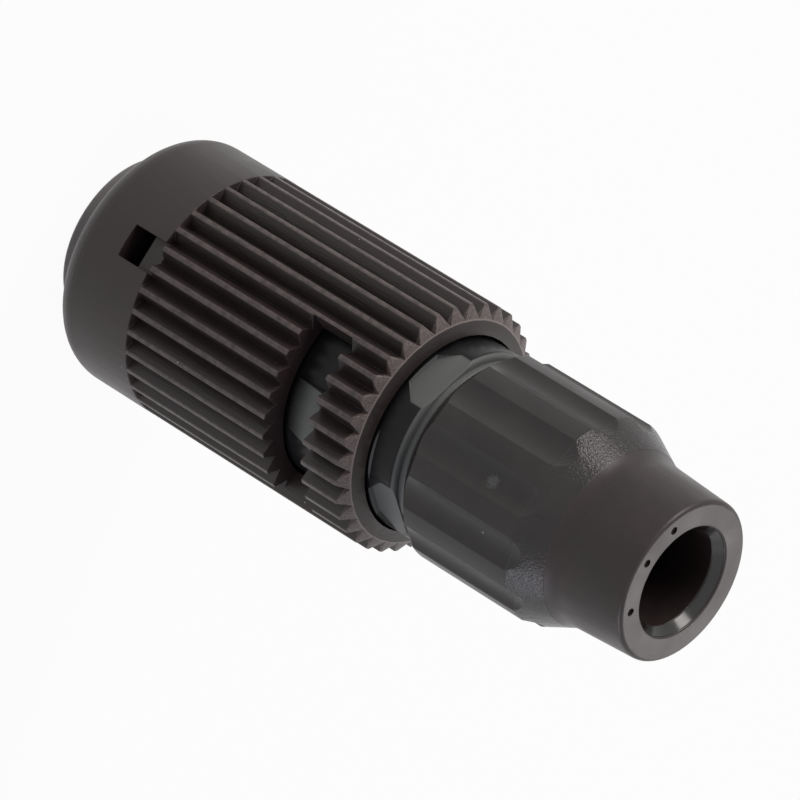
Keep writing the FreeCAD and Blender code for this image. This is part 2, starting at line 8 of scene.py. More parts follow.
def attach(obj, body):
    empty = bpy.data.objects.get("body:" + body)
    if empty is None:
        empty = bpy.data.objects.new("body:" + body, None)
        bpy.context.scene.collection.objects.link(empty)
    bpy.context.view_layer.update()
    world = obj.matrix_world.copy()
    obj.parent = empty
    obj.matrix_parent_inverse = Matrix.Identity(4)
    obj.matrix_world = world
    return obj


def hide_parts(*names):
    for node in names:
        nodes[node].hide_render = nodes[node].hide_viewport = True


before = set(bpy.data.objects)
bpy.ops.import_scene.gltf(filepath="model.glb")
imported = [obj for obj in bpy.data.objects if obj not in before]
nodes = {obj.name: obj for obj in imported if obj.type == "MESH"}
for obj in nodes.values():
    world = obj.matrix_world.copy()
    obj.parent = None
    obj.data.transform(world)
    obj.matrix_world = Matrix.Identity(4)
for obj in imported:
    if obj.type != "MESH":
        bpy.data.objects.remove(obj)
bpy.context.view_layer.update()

MM = 0.001

# The studio: the connector stands on its nose on a pale table, and the camera
# looks at the cable end from one side, rolled over as in the photograph. A tall
# softbox on the left is the main lamp, and three small ones lift the other sides.
CAMERA_PLACE = Vector((-0.00127, -0.4278, 0.31715))
CAMERA_AIM = Vector((-0.00044, 0.0, 0.02695))
CAMERA_ROLL = 121.67
CAMERA_LENS = 337.5
SENSOR_WIDTH = 36
LAMP_DISTANCE = 0.7
LAMP_SIDE = 0.3
KEY_WIDTH = 0.26
KEY_HEIGHT = 0.5
ROOM_COLOUR = (0.8, 0.8, 0.82, 1.0)
ROOM_LIGHT = 0.25
TABLE_WIDTH = 3.0
TABLE_COLOUR = "#f4f4f4"
TABLE_ROUGHNESS = 0.5
TABLE_GLOW = 0.95
WHITE = (1.0, 1.0, 1.0, 1.0)


def linear(colour):
    """The linear colour of an sRGB hex value such as #3a3636."""
    parts = [int(colour[i:i + 2], 16) / 255 for i in (1, 3, 5)]
    return [p / 12.92 if p <= 0.04045 else ((p + 0.055) / 1.055) ** 2.4 for p in parts] + [1.0]


def add_node(tree, kind, links=None, output=0, **settings):
    """Adds a shader node, sets its inputs to numbers or links them, and gives one output."""
    made = tree.nodes.new("ShaderNode" + kind)
    for name, setting in settings.items():
        setattr(made, name, setting)
    for place, source in (links or {}).items():
        if isinstance(source, bpy.types.NodeSocket):
            tree.links.new(source, made.inputs[place])
        else:
            made.inputs[place].default_value = source
    return made.outputs[output] if len(made.outputs) else None


def seen_ray(tree):
    """1 for rays that show the background: camera, glossy and transmission rays."""
    path = add_node(tree, "LightPath").node
    seen = path.outputs["Is Camera Ray"]
    for kind in ("Is Glossy Ray", "Is Transmission Ray"):
        seen = add_node(tree, "Math", {0: seen, 1: path.outputs[kind]}, operation="MAXIMUM")
    return seen


def hang_softbox(name, bearing, climb, watts, colour, width=LAMP_SIDE, height=LAMP_SIDE):
    """Adds a softbox that faces the object, at a bearing about Z and an angle above the table."""
    lamp_data = bpy.data.lights.new(name, "AREA")
    lamp_data.shape = "RECTANGLE"
    lamp_data.size = width
    lamp_data.size_y = height
    lamp_data.energy = watts
    lamp_data.color = linear(colour)[:3]
    lamp = bpy.data.objects.new(name, lamp_data)
    bpy.context.scene.collection.objects.link(lamp)
    turn, rise = radians(bearing), radians(climb)
    way = Vector((cos(turn) * cos(rise), sin(turn) * cos(rise), sin(rise)))
    lamp.location = CAMERA_AIM + way * LAMP_DISTANCE
    lamp.rotation_mode = "QUATERNION"
    lamp.rotation_quaternion = (-way).to_track_quat("-Z", "Y")


camera_data = bpy.data.cameras.new("camera")
camera_data.lens = CAMERA_LENS
camera_data.sensor_width = SENSOR_WIDTH
camera = bpy.data.objects.new("camera", camera_data)
bpy.context.scene.collection.objects.link(camera)
camera.location = CAMERA_PLACE
camera.rotation_mode = "QUATERNION"
level_view = (CAMERA_AIM - CAMERA_PLACE).to_track_quat("-Z", "Y")
camera.rotation_quaternion = level_view @ Quaternion((0, 0, 1), radians(CAMERA_ROLL))
bpy.context.scene.camera = camera
bpy.context.scene.view_settings.view_transform = "Standard"

hang_softbox("softbox_key", -163, 27, 3.3, "#fffaf6", KEY_WIDTH, KEY_HEIGHT)
hang_softbox("softbox_back", 90, 34, 0.8, "#fffaf8")
hang_softbox("softbox_over", 90, 80, 0.25, "#ffffff")
hang_softbox("softbox_fill", 0, 14, 1.1, "#f0eeff")

world = bpy.data.worlds.new("white_room")
bpy.context.scene.world = world
world.use_nodes = True
tree = world.node_tree
tree.nodes.clear()
plain = add_node(tree, "Background", {"Color": ROOM_COLOUR, "Strength": ROOM_LIGHT})
shown = add_node(tree, "Background", {"Color": WHITE, "Strength": 1.0})
both = add_node(tree, "MixShader", {0: seen_ray(tree), 1: plain, 2: shown})
add_node(tree, "OutputWorld", {"Surface": both})

bpy.ops.object.select_all(action="DESELECT")
bpy.ops.mesh.primitive_plane_add(size=TABLE_WIDTH, location=(0, 0, 0))
table = bpy.context.object
table.name = "table"
laminate = bpy.data.materials.new("white_table_laminate")
laminate.use_nodes = True
tree = laminate.node_tree
tree.nodes.clear()
dull = add_node(tree, "BsdfDiffuse", {"Color": linear(TABLE_COLOUR), "Roughness": TABLE_ROUGHNESS})
glow = add_node(tree, "Emission", {"Color": WHITE, "Strength": 1.0})
share = add_node(tree, "Math", {0: seen_ray(tree), 1: TABLE_GLOW}, operation="MULTIPLY")
laid = add_node(tree, "MixShader", {0: share, 1: dull, 2: glow})
add_node(tree, "OutputMaterial", {"Surface": laid})
table.data.materials.append(laminate)

# Connector body: nose, flange, barrel and spigot in one piece of polyamide,
# moulded in a polished tool, so that it is near black and shines like glass.
# The wrench flats, the stops and a thin crescent on the barrel are painted
# pale as a painted reflection of the lamps, and the nose's rim near the table
# is painted pale as a painted reflection of the table.
BODY_SHADE = "#0b0c0e"
BODY_LIGHT = "#131417"
BODY_ROUGHNESS = (0.24, 0.34)
BODY_IOR = 1.28
FLOW_MARK = 4 * MM
RIPPLE = 0.3 * MM
RIPPLE_DEPTH = 0.0006 * MM
MASK_EDGE = 0.05 * MM
BARREL_RADIUS = 7.3 * MM
STOP_START = 20 * MM
STOP_FADE = (0.1 * MM, 0.7 * MM)
FLAT_START = 31.5 * MM
FLAT_FADE = (0.03 * MM, 0.08 * MM)
# Painted reflection: the pale colour of the flats, the stops and the crescent stands in for the
# lamps' reflection.
PAINTED_REFLECTION_COLOUR = "#646665"
FLAT_ROUGHNESS = 0.42
COLLAR_TOP = 34.5 * MM
# A thin crescent of painted highlight on the barrel, just behind the sleeve.
CRESCENT_BEARING = -59
CRESCENT_HEIGHT = 31.6 * MM
CRESCENT_LENGTH = 1.85 * MM
CRESCENT_WIDTH = 0.13 * MM
CRESCENT_EDGE = (0.8, 1.1)
OUT_OF_MARK = 9.0
# Painted reflection of the white table on the nose's rim, just above the table.
NOSE_REFLECTION_TOP = 2.4 * MM
NOSE_FADE = 0.3 * MM
NOSE_RIM = (6.05 * MM, 6.25 * MM)
NOSE_REFLECTION_COLOUR = "#8f8b8b"
NOSE_REFLECTION_SHARE = 0.75
SPIGOT_RADIUS = 5.75 * MM
WALL_MARGIN = 0.1 * MM
WALL_TILT = 0.1
THREAD_LOW = 36.7 * MM
THREAD_TOP = 41.7 * MM
THREAD_DEPTH = 0.4 * MM
EDGE_RADIUS = 0.05 * MM
EDGE_STEPS = 2
SMOOTH_TURN = 40
EDGE_TURN = 38
BLUNT_TURN = 20
FACET_TURN = 0.5
SAME_POINT = 1e-7


def new_material(name):
    """An empty material with its node tree and the object's own coordinates."""
    made = bpy.data.materials.new(name)
    made.use_nodes = True
    made.node_tree.nodes.clear()
    return made, made.node_tree, add_node(made.node_tree, "TexCoord", output="Object")


def drift(tree, place, size, low, high, spread=(0.3, 0.7), detail=2.0, roughness=0.5):
    """A number that drifts from low to high, in patches about size metres across."""
    noise = add_node(tree, "TexNoise", {"Vector": place, "Scale": 1 / size, "Detail": detail,
                                        "Roughness": roughness})
    return add_node(tree, "MapRange", {"Value": noise, "From Min": spread[0], "From Max": spread[1],
                                       "To Min": low, "To Max": high})


def mottle(tree, place, size, shade, light):
    """The faint clouds that the melt leaves as it flows, from the shade to the light colour."""
    cloud = drift(tree, place, size, 0.0, 1.0, detail=4.0, roughness=0.6)
    return add_node(tree, "Mix", {0: cloud, 6: linear(shade), 7: linear(light)}, 2,
                    data_type="RGBA")


def from_axis(tree, place):
    """The distance from the connector's axis."""
    flat = add_node(tree, "VectorMath", {0: place, 1: (1.0, 1.0, 0.0)}, operation="MULTIPLY")
    return add_node(tree, "VectorMath", {0: flat}, "Value", operation="LENGTH")


def band(tree, amount, rise, fall):
    """1 between two edges and 0 beyond them. An edge is the pair of where it starts and ends."""
    up = add_node(tree, "MapRange", {"Value": amount, "From Min": rise[0], "From Max": rise[1]})
    down = add_node(tree, "MapRange", {"Value": amount, "From Min": fall[1], "From Max": fall[0]})
    return add_node(tree, "Math", {0: up, 1: down}, operation="MULTIPLY")


def oval_mark(tree, place, bearing, height, length, width):
    """How far a point lies from an oval mark's middle, 1 on its edge, on one side of the axis."""
    turned = add_node(tree, "VectorRotate", {"Vector": place, "Angle": radians(-bearing)},
                      rotation_type="Z_AXIS")
    moved = add_node(tree, "VectorMath", {0: turned, 1: (0.0, 0.0, -height)}, operation="ADD")
    spread = add_node(tree, "VectorMath", {0: moved, 1: (0.0, 1 / length, 1 / width)},
                      operation="MULTIPLY")
    far = add_node(tree, "VectorMath", {0: spread}, "Value", operation="LENGTH")
    facing = add_node(tree, "SeparateXYZ", {0: turned})
    behind = add_node(tree, "MapRange", {"Value": facing, "From Min": 0.0, "From Max": length,
                                         "To Min": OUT_OF_MARK, "To Max": 0.0})
    return add_node(tree, "Math", {0: far, 1: behind}, operation="ADD")


def finish_surface(tree, colour, roughness, relief, depth, **shader):
    """Ends a material in a Principled surface whose bump is relief times depth, a length."""
    bump = add_node(tree, "Bump", {"Height": relief, "Strength": 1.0, "Distance": depth})
    links = {"Base Color": colour, "Roughness": roughness, "Normal": bump}
    links.update(shader)
    add_node(tree, "OutputMaterial", {"Surface": add_node(tree, "BsdfPrincipled", links)})


def dress(piece, material):
    """Gives a piece its one material."""
    piece.data.materials.clear()
    piece.data.materials.append(material)
    for face in piece.data.polygons:
        face.material_index = 0


def select_only(piece):
    """Makes a piece the one that the next operators act on."""
    bpy.ops.object.select_all(action="DESELECT")
    piece.select_set(True)
    bpy.context.view_layer.objects.active = piece


def free_copy(node, name):
    """A copy of a CAD node without the frame's own marks, its triangles joined for editing."""
    piece = nodes[node].copy()
    piece.data = nodes[node].data.copy()
    for key in list(piece.keys()):
        del piece[key]
    piece.name = name
    piece.parent = None
    bpy.context.scene.collection.objects.link(piece)
    select_only(piece)
    bpy.ops.mesh.customdata_custom_splitnormals_clear()
    bpy.ops.object.mode_set(mode="EDIT")
    bpy.ops.mesh.select_all(action="SELECT")
    bpy.ops.mesh.remove_doubles(threshold=SAME_POINT)
    bpy.ops.mesh.dissolve_limited(angle_limit=radians(FACET_TURN))
    bpy.ops.object.mode_set(mode="OBJECT")
    return piece


def round_edges(piece, sharp_within=0.0, crisp_below=0.0):
    """Rounds a piece's sharp edges, and below a height its blunt ones, but not near its axis."""
    mesh = bmesh.new()
    mesh.from_mesh(piece.data)
    weight = mesh.edges.layers.float.new("bevel_weight_edge")
    for edge in mesh.edges:
        middle = (edge.verts[0].co + edge.verts[1].co) / 2
        least = BLUNT_TURN if middle.z < crisp_below else EDGE_TURN
        far = middle.xy.length > sharp_within
        if edge.is_manifold and far and edge.calc_face_angle() > radians(least):
            edge[weight] = 1.0
    mesh.to_mesh(piece.data)
    mesh.free()
    select_only(piece)
    bevel = piece.modifiers.new("edges", "BEVEL")
    bevel.width = EDGE_RADIUS
    bevel.segments = EDGE_STEPS
    bevel.limit_method = "WEIGHT"
    bevel.use_clamp_overlap = False
    bpy.ops.object.modifier_apply(modifier="edges")
    bpy.ops.object.shade_smooth_by_angle(angle=radians(SMOOTH_TURN))
    weigh = piece.modifiers.new("facing", "WEIGHTED_NORMAL")
    weigh.keep_sharp = True
    bpy.ops.object.modifier_apply(modifier="facing")


def pick_spigot_wall(piece):
    """Selects the faces of the spigot's round wall between the two ends of the thread."""
    for face in piece.data.polygons:
        upright = abs(face.normal.z) < WALL_TILT
        outside = face.center.xy.length > SPIGOT_RADIUS - WALL_MARGIN
        face.select = upright and outside and THREAD_LOW < face.center.z < THREAD_TOP


polished, tree, place = new_material("polyamide_moulded_polished")
reach = from_axis(tree, place)
height = add_node(tree, "SeparateXYZ", {0: place}, 2)
flats = add_node(tree, "MapRange", {"Value": reach, "From Min": BARREL_RADIUS - FLAT_FADE[0],
                                    "From Max": BARREL_RADIUS - FLAT_FADE[1]})
near_collar = band(tree, height, (FLAT_START, FLAT_START + MASK_EDGE),
                   (COLLAR_TOP, COLLAR_TOP + MASK_EDGE))
flats = add_node(tree, "Math", {0: flats, 1: near_collar}, operation="MULTIPLY")
stops = add_node(tree, "MapRange", {"Value": reach, "From Min": BARREL_RADIUS + STOP_FADE[0],
                                    "From Max": BARREL_RADIUS + STOP_FADE[1]})
at_stops = add_node(tree, "MapRange", {"Value": height, "From Min": STOP_START,
                                       "From Max": STOP_START + MASK_EDGE})
stops = add_node(tree, "Math", {0: stops, 1: at_stops}, operation="MULTIPLY")
# The thin crescent is painted pale as a painted highlight.
painted_crescent = oval_mark(tree, place, CRESCENT_BEARING, CRESCENT_HEIGHT, CRESCENT_LENGTH, CRESCENT_WIDTH)
painted_crescent = add_node(tree, "MapRange", {"Value": painted_crescent, "From Min": CRESCENT_EDGE[1],
                                     "From Max": CRESCENT_EDGE[0]})
# The flats and stops are painted pale as a painted reflection of the lamps, and the crescent joins
# them.
pale = add_node(tree, "Math", {0: flats, 1: stops}, operation="MAXIMUM")
pale = add_node(tree, "Math", {0: pale, 1: painted_crescent}, operation="MAXIMUM")
tint = mottle(tree, place, FLOW_MARK, BODY_SHADE, BODY_LIGHT)
tint = add_node(tree, "Mix", {0: pale, 6: tint, 7: linear(PAINTED_REFLECTION_COLOUR)}, 2, data_type="RGBA")
# The nose's rim near the table is painted pale as a painted reflection of the table.
painted_nose_reflection = add_node(tree, "MapRange", {"Value": height, "From Min": NOSE_REFLECTION_TOP,
                                      "From Max": NOSE_REFLECTION_TOP - NOSE_FADE})
on_rim = add_node(tree, "MapRange", {"Value": reach, "From Min": NOSE_RIM[0],
                                     "From Max": NOSE_RIM[1], "To Max": NOSE_REFLECTION_SHARE})
painted_nose_reflection = add_node(tree, "Math", {0: painted_nose_reflection, 1: on_rim}, operation="MULTIPLY")
tint = add_node(tree, "Mix", {0: painted_nose_reflection, 6: tint, 7: linear(NOSE_REFLECTION_COLOUR)}, 2, data_type="RGBA")
gloss = drift(tree, place, FLOW_MARK, *BODY_ROUGHNESS)
gloss = add_node(tree, "Mix", {"Factor": pale, "A": gloss, "B": FLAT_ROUGHNESS})
ripple = add_node(tree, "TexNoise", {"Vector": place, "Scale": 1 / RIPPLE})
finish_surface(tree, tint, gloss, ripple, RIPPLE_DEPTH, IOR=BODY_IOR)

# The spigot's wall is cut at the thread's two ends and drawn in by the thread's depth.
shell = free_copy("connector_body", "body_moulding")
for thread_end in (THREAD_LOW, THREAD_TOP):
    pick_spigot_wall(shell)
    bpy.ops.object.mode_set(mode="EDIT")
    bpy.ops.mesh.select_mode(type="FACE")
    bpy.ops.mesh.bisect(plane_co=(0, 0, thread_end), plane_no=(0, 0, 1))
    bpy.ops.object.mode_set(mode="OBJECT")
pick_spigot_wall(shell)
shrink = (SPIGOT_RADIUS - THREAD_DEPTH) / SPIGOT_RADIUS
bpy.ops.object.mode_set(mode="EDIT")
bpy.ops.mesh.extrude_region()
bpy.ops.transform.resize(value=(shrink, shrink, 1.0), center_override=(0, 0, 0))
bpy.ops.object.mode_set(mode="OBJECT")
round_edges(shell)
dress(shell, polished)
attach(shell, "connector")
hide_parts("connector_body")

# Spigot thread: moulded with the body, one millimetre to the turn. One ridge
# with a flat crest winds up the sunk wall of the spigot, and the gland nut
# runs on it. It shows when the nut is screwed back.
THREAD_PITCH = 1.0 * MM
THREAD_BURY = 1.1
THREAD_MIDDLE = THREAD_LOW + THREAD_PITCH * 0.45
THREAD_CREST = THREAD_PITCH * 0.1
THREAD_ROOT = THREAD_PITCH * 0.38
THREAD_TURNS = 4
THREAD_STEPS = 64

# The plane's outline becomes one ridge, its crest outwards, and is wound up the spigot.
bpy.ops.object.select_all(action="DESELECT")
bpy.ops.mesh.primitive_plane_add(size=THREAD_PITCH, rotation=(pi / 2, 0, 0),
                                 location=(SPIGOT_RADIUS - THREAD_PITCH / 2, 0, THREAD_MIDDLE))
thread = bpy.context.object
thread.name = "spigot_thread"
bpy.ops.object.transform_apply(location=True, rotation=True, scale=True)
for corner in thread.data.vertices:
    on_crest = corner.co.x > SPIGOT_RADIUS - WALL_MARGIN
    half = THREAD_CREST if on_crest else THREAD_ROOT
    corner.co.x = SPIGOT_RADIUS if on_crest else SPIGOT_RADIUS - THREAD_DEPTH * THREAD_BURY
    corner.co.z = THREAD_MIDDLE + (half if corner.co.z > THREAD_MIDDLE else -half)
bpy.ops.object.mode_set(mode="EDIT")
bpy.ops.mesh.select_all(action="SELECT")
bpy.ops.mesh.delete(type="ONLY_FACE")
bpy.ops.object.mode_set(mode="OBJECT")
winding = thread.modifiers.new("winding", "SCREW")
winding.axis = "Z"
winding.screw_offset = THREAD_PITCH
winding.iterations = THREAD_TURNS
winding.steps = THREAD_STEPS
winding.render_steps = THREAD_STEPS
bpy.ops.object.modifier_apply(modifier="winding")
bpy.ops.object.mode_set(mode="EDIT")
bpy.ops.mesh.select_all(action="SELECT")
bpy.ops.mesh.fill_holes(sides=4)
bpy.ops.mesh.select_all(action="SELECT")
bpy.ops.mesh.normals_make_consistent(inside=False)
bpy.ops.object.mode_set(mode="OBJECT")
bpy.ops.object.shade_smooth_by_angle(angle=radians(SMOOTH_TURN))
dress(thread, polished)
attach(thread, "connector")

# Seal collar: the narrow ring on the spigot between the body and the gland nut,
# moulded in the same polished polyamide as the body.
dress(nodes["seal_collar"], polished)

# Coupling sleeve: turned by hand, so it is knurled with sharp V grooves. It is
# moulded in glass-filled polyamide whose warm black is dulled by the fibres.
# The ridges are worn pale, with a painted highlight along them, and the bevel
# at their ends is coarse from the tool and painted with pale glints. A painted
# highlight line runs round the end face, and the end face has painted shade.
SLEEVE_SHADE = "#281f1f"
SLEEVE_LIGHT = "#2e2424"
SLEEVE_CLOUD = 3 * MM
SLEEVE_ROUGHNESS = (0.38, 0.46)
SLEEVE_IOR = 1.45
# The crests' pale colour is partly real wear and partly a painted highlight.
WORN_CREST_HIGHLIGHT = "#5c5150"
CREST_RADIUS = 9.5 * MM
CREST_BAND = 0.1 * MM
CREST_PATCH = 0.5 * MM
WEAR_AND_SHEEN_RANGE = (0.2, 0.8)
CREST_SPREAD = (0.35, 0.6)
KNURL_START = 9.75 * MM
# Painted glints: pale specks on the coarse bevel at the ridges' ends.
BEVEL_GLINT_COLOUR = "#7a6e6c"
BEVEL_START = 30.55 * MM
BEVEL_END = 31.1 * MM
BEVEL_GLINT_SIZE = 0.15 * MM
BEVEL_GLINT_RANGE = (0.25, 0.8)
BEVEL_SPREAD = (0.35, 0.7)
# A painted highlight line round the sleeve's end face.
RIM_PAINTED_HIGHLIGHT = "#857b79"
RIM_WIDTH = 0.07 * MM
# Painted shade: the end face inside the bevel is painted darker.
END_PAINTED_SHADE = "#1b1210"
END_ROUGHNESS = 0.5
GROOVE_STREAK = 0.12 * MM
GROOVE_STRETCH = 0.06
GROOVE_RELIEF = 0.8
# Real fibres and tool pits are finer, and these are as coarse as they need to be to show.
FIBRE = 0.1 * MM
FIBRE_RELIEF = 0.1
EROSION = 0.17 * MM
RELIEF_DEPTH = 0.03 * MM
DUST_COLOUR = "#d8d4d2"
DUST_SHARE = 0.014
DUST_CELL = 0.6 * MM
DUST_RADIUS = 0.06 * MM
DUST_CORE = 0.6


def dust(tree, place):
    """1 on the few pale specks of dust that lie on the surface."""
    cells = add_node(tree, "TexVoronoi", {"Vector": place, "Scale": 1 / DUST_CELL}).node
    near = add_node(tree, "MapRange", {"Value": cells.outputs["Distance"],
                                       "From Min": DUST_RADIUS / DUST_CELL,
                                       "From Max": DUST_CORE * DUST_RADIUS / DUST_CELL})
    draw = add_node(tree, "SeparateColor", {0: cells.outputs["Color"]})
    chosen = add_node(tree, "Math", {0: draw, 1: 1 - DUST_SHARE}, operation="GREATER_THAN")
    return add_node(tree, "Math", {0: near, 1: chosen}, operation="MULTIPLY")


def draw_marks(tree, place, width, stretch, relief):
    """Fine lines along the axis, where the piece slid out of its tool."""
    drawn = add_node(tree, "Mapping", {"Vector": place, "Scale": (1.0, 1.0, stretch)})
    lines = add_node(tree, "TexNoise", {"Vector": drawn, "Scale": 1 / width, "Detail": 3.0,
                                        "Roughness": 0.6})
    return add_node(tree, "Math", {0: lines, 1: relief}, operation="MULTIPLY")


satin, tree, place = new_material("glass_filled_polyamide_moulded_satin")
reach = from_axis(tree, place)
height = add_node(tree, "SeparateXYZ", {0: place}, 2)
# The crests are painted pale, partly as real wear and partly as a painted highlight.
crest = add_node(tree, "MapRange", {"Value": reach, "From Min": CREST_RADIUS - CREST_BAND,
                                    "From Max": CREST_RADIUS})
knurled = add_node(tree, "MapRange", {"Value": height, "From Min": KNURL_START,
                                      "From Max": KNURL_START + FIBRE})
crest = add_node(tree, "Math", {0: crest, 1: knurled}, operation="MULTIPLY")
patchy = drift(tree, place, CREST_PATCH, *WEAR_AND_SHEEN_RANGE, CREST_SPREAD, 3.0)
crest = add_node(tree, "Math", {0: crest, 1: patchy}, operation="MULTIPLY")
tint = mottle(tree, place, SLEEVE_CLOUD, SLEEVE_SHADE, SLEEVE_LIGHT)
tint = add_node(tree, "Mix", {0: crest, 6: tint, 7: linear(WORN_CREST_HIGHLIGHT)}, 2, data_type="RGBA")
specks = dust(tree, place)
tint = add_node(tree, "Mix", {0: specks, 6: tint, 7: linear(DUST_COLOUR)}, 2, data_type="RGBA")
rim_edge = (BEVEL_END, BEVEL_END + RIM_WIDTH / 4)
coarse = band(tree, height, (BEVEL_START, BEVEL_START + FIBRE), rim_edge)
# The pale specks on the coarse bevel are painted glints; its relief below is real.
painted_glints = drift(tree, place, BEVEL_GLINT_SIZE, *BEVEL_GLINT_RANGE, BEVEL_SPREAD)
painted_glints = add_node(tree, "Math", {0: coarse, 1: painted_glints}, operation="MULTIPLY")
tint = add_node(tree, "Mix", {0: painted_glints, 6: tint, 7: linear(BEVEL_GLINT_COLOUR)}, 2, data_type="RGBA")
# The end face is painted darker as painted shade, and gets its own roughness.
at_end = add_node(tree, "MapRange", {"Value": height, "From Min": rim_edge[0],
                                     "From Max": rim_edge[1]})
tint = add_node(tree, "Mix", {0: at_end, 6: tint, 7: linear(END_PAINTED_SHADE)}, 2, data_type="RGBA")
# A thin painted highlight line on the bevel's inner edge.
rim = band(tree, height, (BEVEL_END - RIM_WIDTH, BEVEL_END), rim_edge)
tint = add_node(tree, "Mix", {0: rim, 6: tint, 7: linear(RIM_PAINTED_HIGHLIGHT)}, 2, data_type="RGBA")
grooves = add_node(tree, "MapRange", {"Value": reach, "From Min": CREST_RADIUS - CREST_BAND / 4,
                                      "From Max": CREST_RADIUS - CREST_BAND / 2,
                                      "To Max": GROOVE_RELIEF})
streaks = draw_marks(tree, place, GROOVE_STREAK, GROOVE_STRETCH, grooves)
fibres = add_node(tree, "TexNoise", {"Vector": place, "Scale": 1 / FIBRE, "Detail": 3.0,
                                     "Roughness": 0.7})
fibres = add_node(tree, "Math", {0: fibres, 1: FIBRE_RELIEF}, operation="MULTIPLY")
skin = add_node(tree, "Math", {0: fibres, 1: streaks}, operation="ADD")
pitted = add_node(tree, "TexNoise", {"Vector": place, "Scale": 1 / EROSION, "Roughness": 0.6})
relief = add_node(tree, "Mix", {"Factor": coarse, "A": skin, "B": pitted})
dull = drift(tree, place, SLEEVE_CLOUD, *SLEEVE_ROUGHNESS)
dull = add_node(tree, "Mix", {"Factor": at_end, "A": dull, "B": END_ROUGHNESS})
finish_surface(tree, tint, dull, relief, RELIEF_DEPTH, IOR=SLEEVE_IOR)

grip = free_copy("coupling_sleeve", "knurled_sleeve")
round_edges(grip)
dress(grip, satin)
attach(grip, "sleeve")
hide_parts("coupling_sleeve")

# Insert and retainer: the block that holds the contacts apart and the plate
# behind it, both moulded in matt black polyester that stands the heat of
# soldering. They show in the nose and, past the seal, down the cable bore.
INSERT_SHADE = "#101011"
INSERT_LIGHT = "#1b1b1c"
INSERT_CLOUD = 2 * MM
INSERT_PATCH = 1 * MM
INSERT_ROUGHNESS = (0.45, 0.6)
INSERT_IOR = 1.55
INSERT_GRAIN = 0.08 * MM
INSERT_DEPTH = 0.006 * MM

matt, tree, place = new_material("polyester_moulded_matt")
tint = mottle(tree, place, INSERT_CLOUD, INSERT_SHADE, INSERT_LIGHT)
dull = drift(tree, place, INSERT_PATCH, *INSERT_ROUGHNESS)
grain = add_node(tree, "TexNoise", {"Vector": place, "Scale": 1 / INSERT_GRAIN, "Detail": 3.0})
finish_surface(tree, tint, dull, grain, INSERT_DEPTH, IOR=INSERT_IOR)

insert = free_copy("contact_insert", "insert_block")
round_edges(insert)
dress(insert, matt)
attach(insert, "connector")
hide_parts("contact_insert")
dress(nodes["contact_retainer"], matt)

# Spring steel: the snap ring behind the retainer and the hood that presses
# each socket's leaves together. Both are rolled strip, so fine lines run
# round them and they shine softly.
STEEL_SHADE = "#a8a8a6"
STEEL_LIGHT = "#c9c9c6"
STEEL_ROUGHNESS = (0.22, 0.36)
ROLL_LINE = 0.5 * MM
ROLL_SQUASH = 12.0
METAL_DEPTH = 0.002 * MM
CONTACTS = 5

rolled, tree, place = new_material("stainless_steel_rolled")
squashed = add_node(tree, "Mapping", {"Vector": place, "Scale": (1.0, 1.0, ROLL_SQUASH)})
lines = add_node(tree, "TexNoise", {"Vector": squashed, "Scale": 1 / ROLL_LINE, "Detail": 3.0})
tint = add_node(tree, "Mix", {0: lines, 6: linear(STEEL_SHADE), 7: linear(STEEL_LIGHT)}, 2,
                data_type="RGBA")
shine = add_node(tree, "MapRange", {"Value": lines, "To Min": STEEL_ROUGHNESS[0],
                                    "To Max": STEEL_ROUGHNESS[1]})
finish_surface(tree, tint, shine, lines, METAL_DEPTH, Metallic=1.0)
for number in range(1, CONTACTS + 1):
    dress(nodes["contact_hood_%d" % number], rolled)
dress(nodes["insert_snap_ring"], rolled)

# Socket contacts: turned brass with a thin gold plating, which keeps the
# rings of the turning tool and varies a little in tone and shine.
GOLD_SHADE = "#c79a4e"
GOLD_LIGHT = "#e6c47a"
GOLD_ROUGHNESS = (0.18, 0.32)
GOLD_WEAR = 0.8 * MM
GOLD_SPREAD = (0.3, 0.7)
TOOL_RING = 0.5 * MM

gilt, tree, place = new_material("brass_turned_gold_plated")
rings = add_node(tree, "TexWave", {"Vector": place, "Scale": 1 / TOOL_RING, "Distortion": 0.6,
                                   "Detail": 1.0}, "Fac", bands_direction="Z")
worn = add_node(tree, "TexNoise", {"Vector": place, "Scale": 1 / GOLD_WEAR, "Detail": 3.0})
tint = add_node(tree, "Mix", {0: worn, 6: linear(GOLD_SHADE), 7: linear(GOLD_LIGHT)}, 2,
                data_type="RGBA")
shine = add_node(tree, "MapRange", {"Value": worn, "From Min": GOLD_SPREAD[0],
                                    "From Max": GOLD_SPREAD[1],
                                    "To Min": GOLD_ROUGHNESS[0], "To Max": GOLD_ROUGHNESS[1]})
finish_surface(tree, tint, shine, rings, METAL_DEPTH, Metallic=1.0)
for number in range(1, CONTACTS + 1):
    dress(nodes["socket_contact_%d" % number], gilt)

# Rubber seals: three round-section rings, the face gasket and the bush that
# grips the cable. Pressed nitrile rubber is soft black and dull, with a pale
# bloom where it has been handled.
RUBBER_SHADE = "#111112"
RUBBER_BLOOM = "#3a3938"
RUBBER_ROUGHNESS = (0.55, 0.75)
RUBBER_IOR = 1.52
RUBBER_GRAIN = 0.06 * MM
RUBBER_DEPTH = 0.004 * MM
BLOOM_PATCH = 1.2 * MM
BLOOM_MOST = 0.35
BLOOM_SPREAD = (0.5, 0.75)

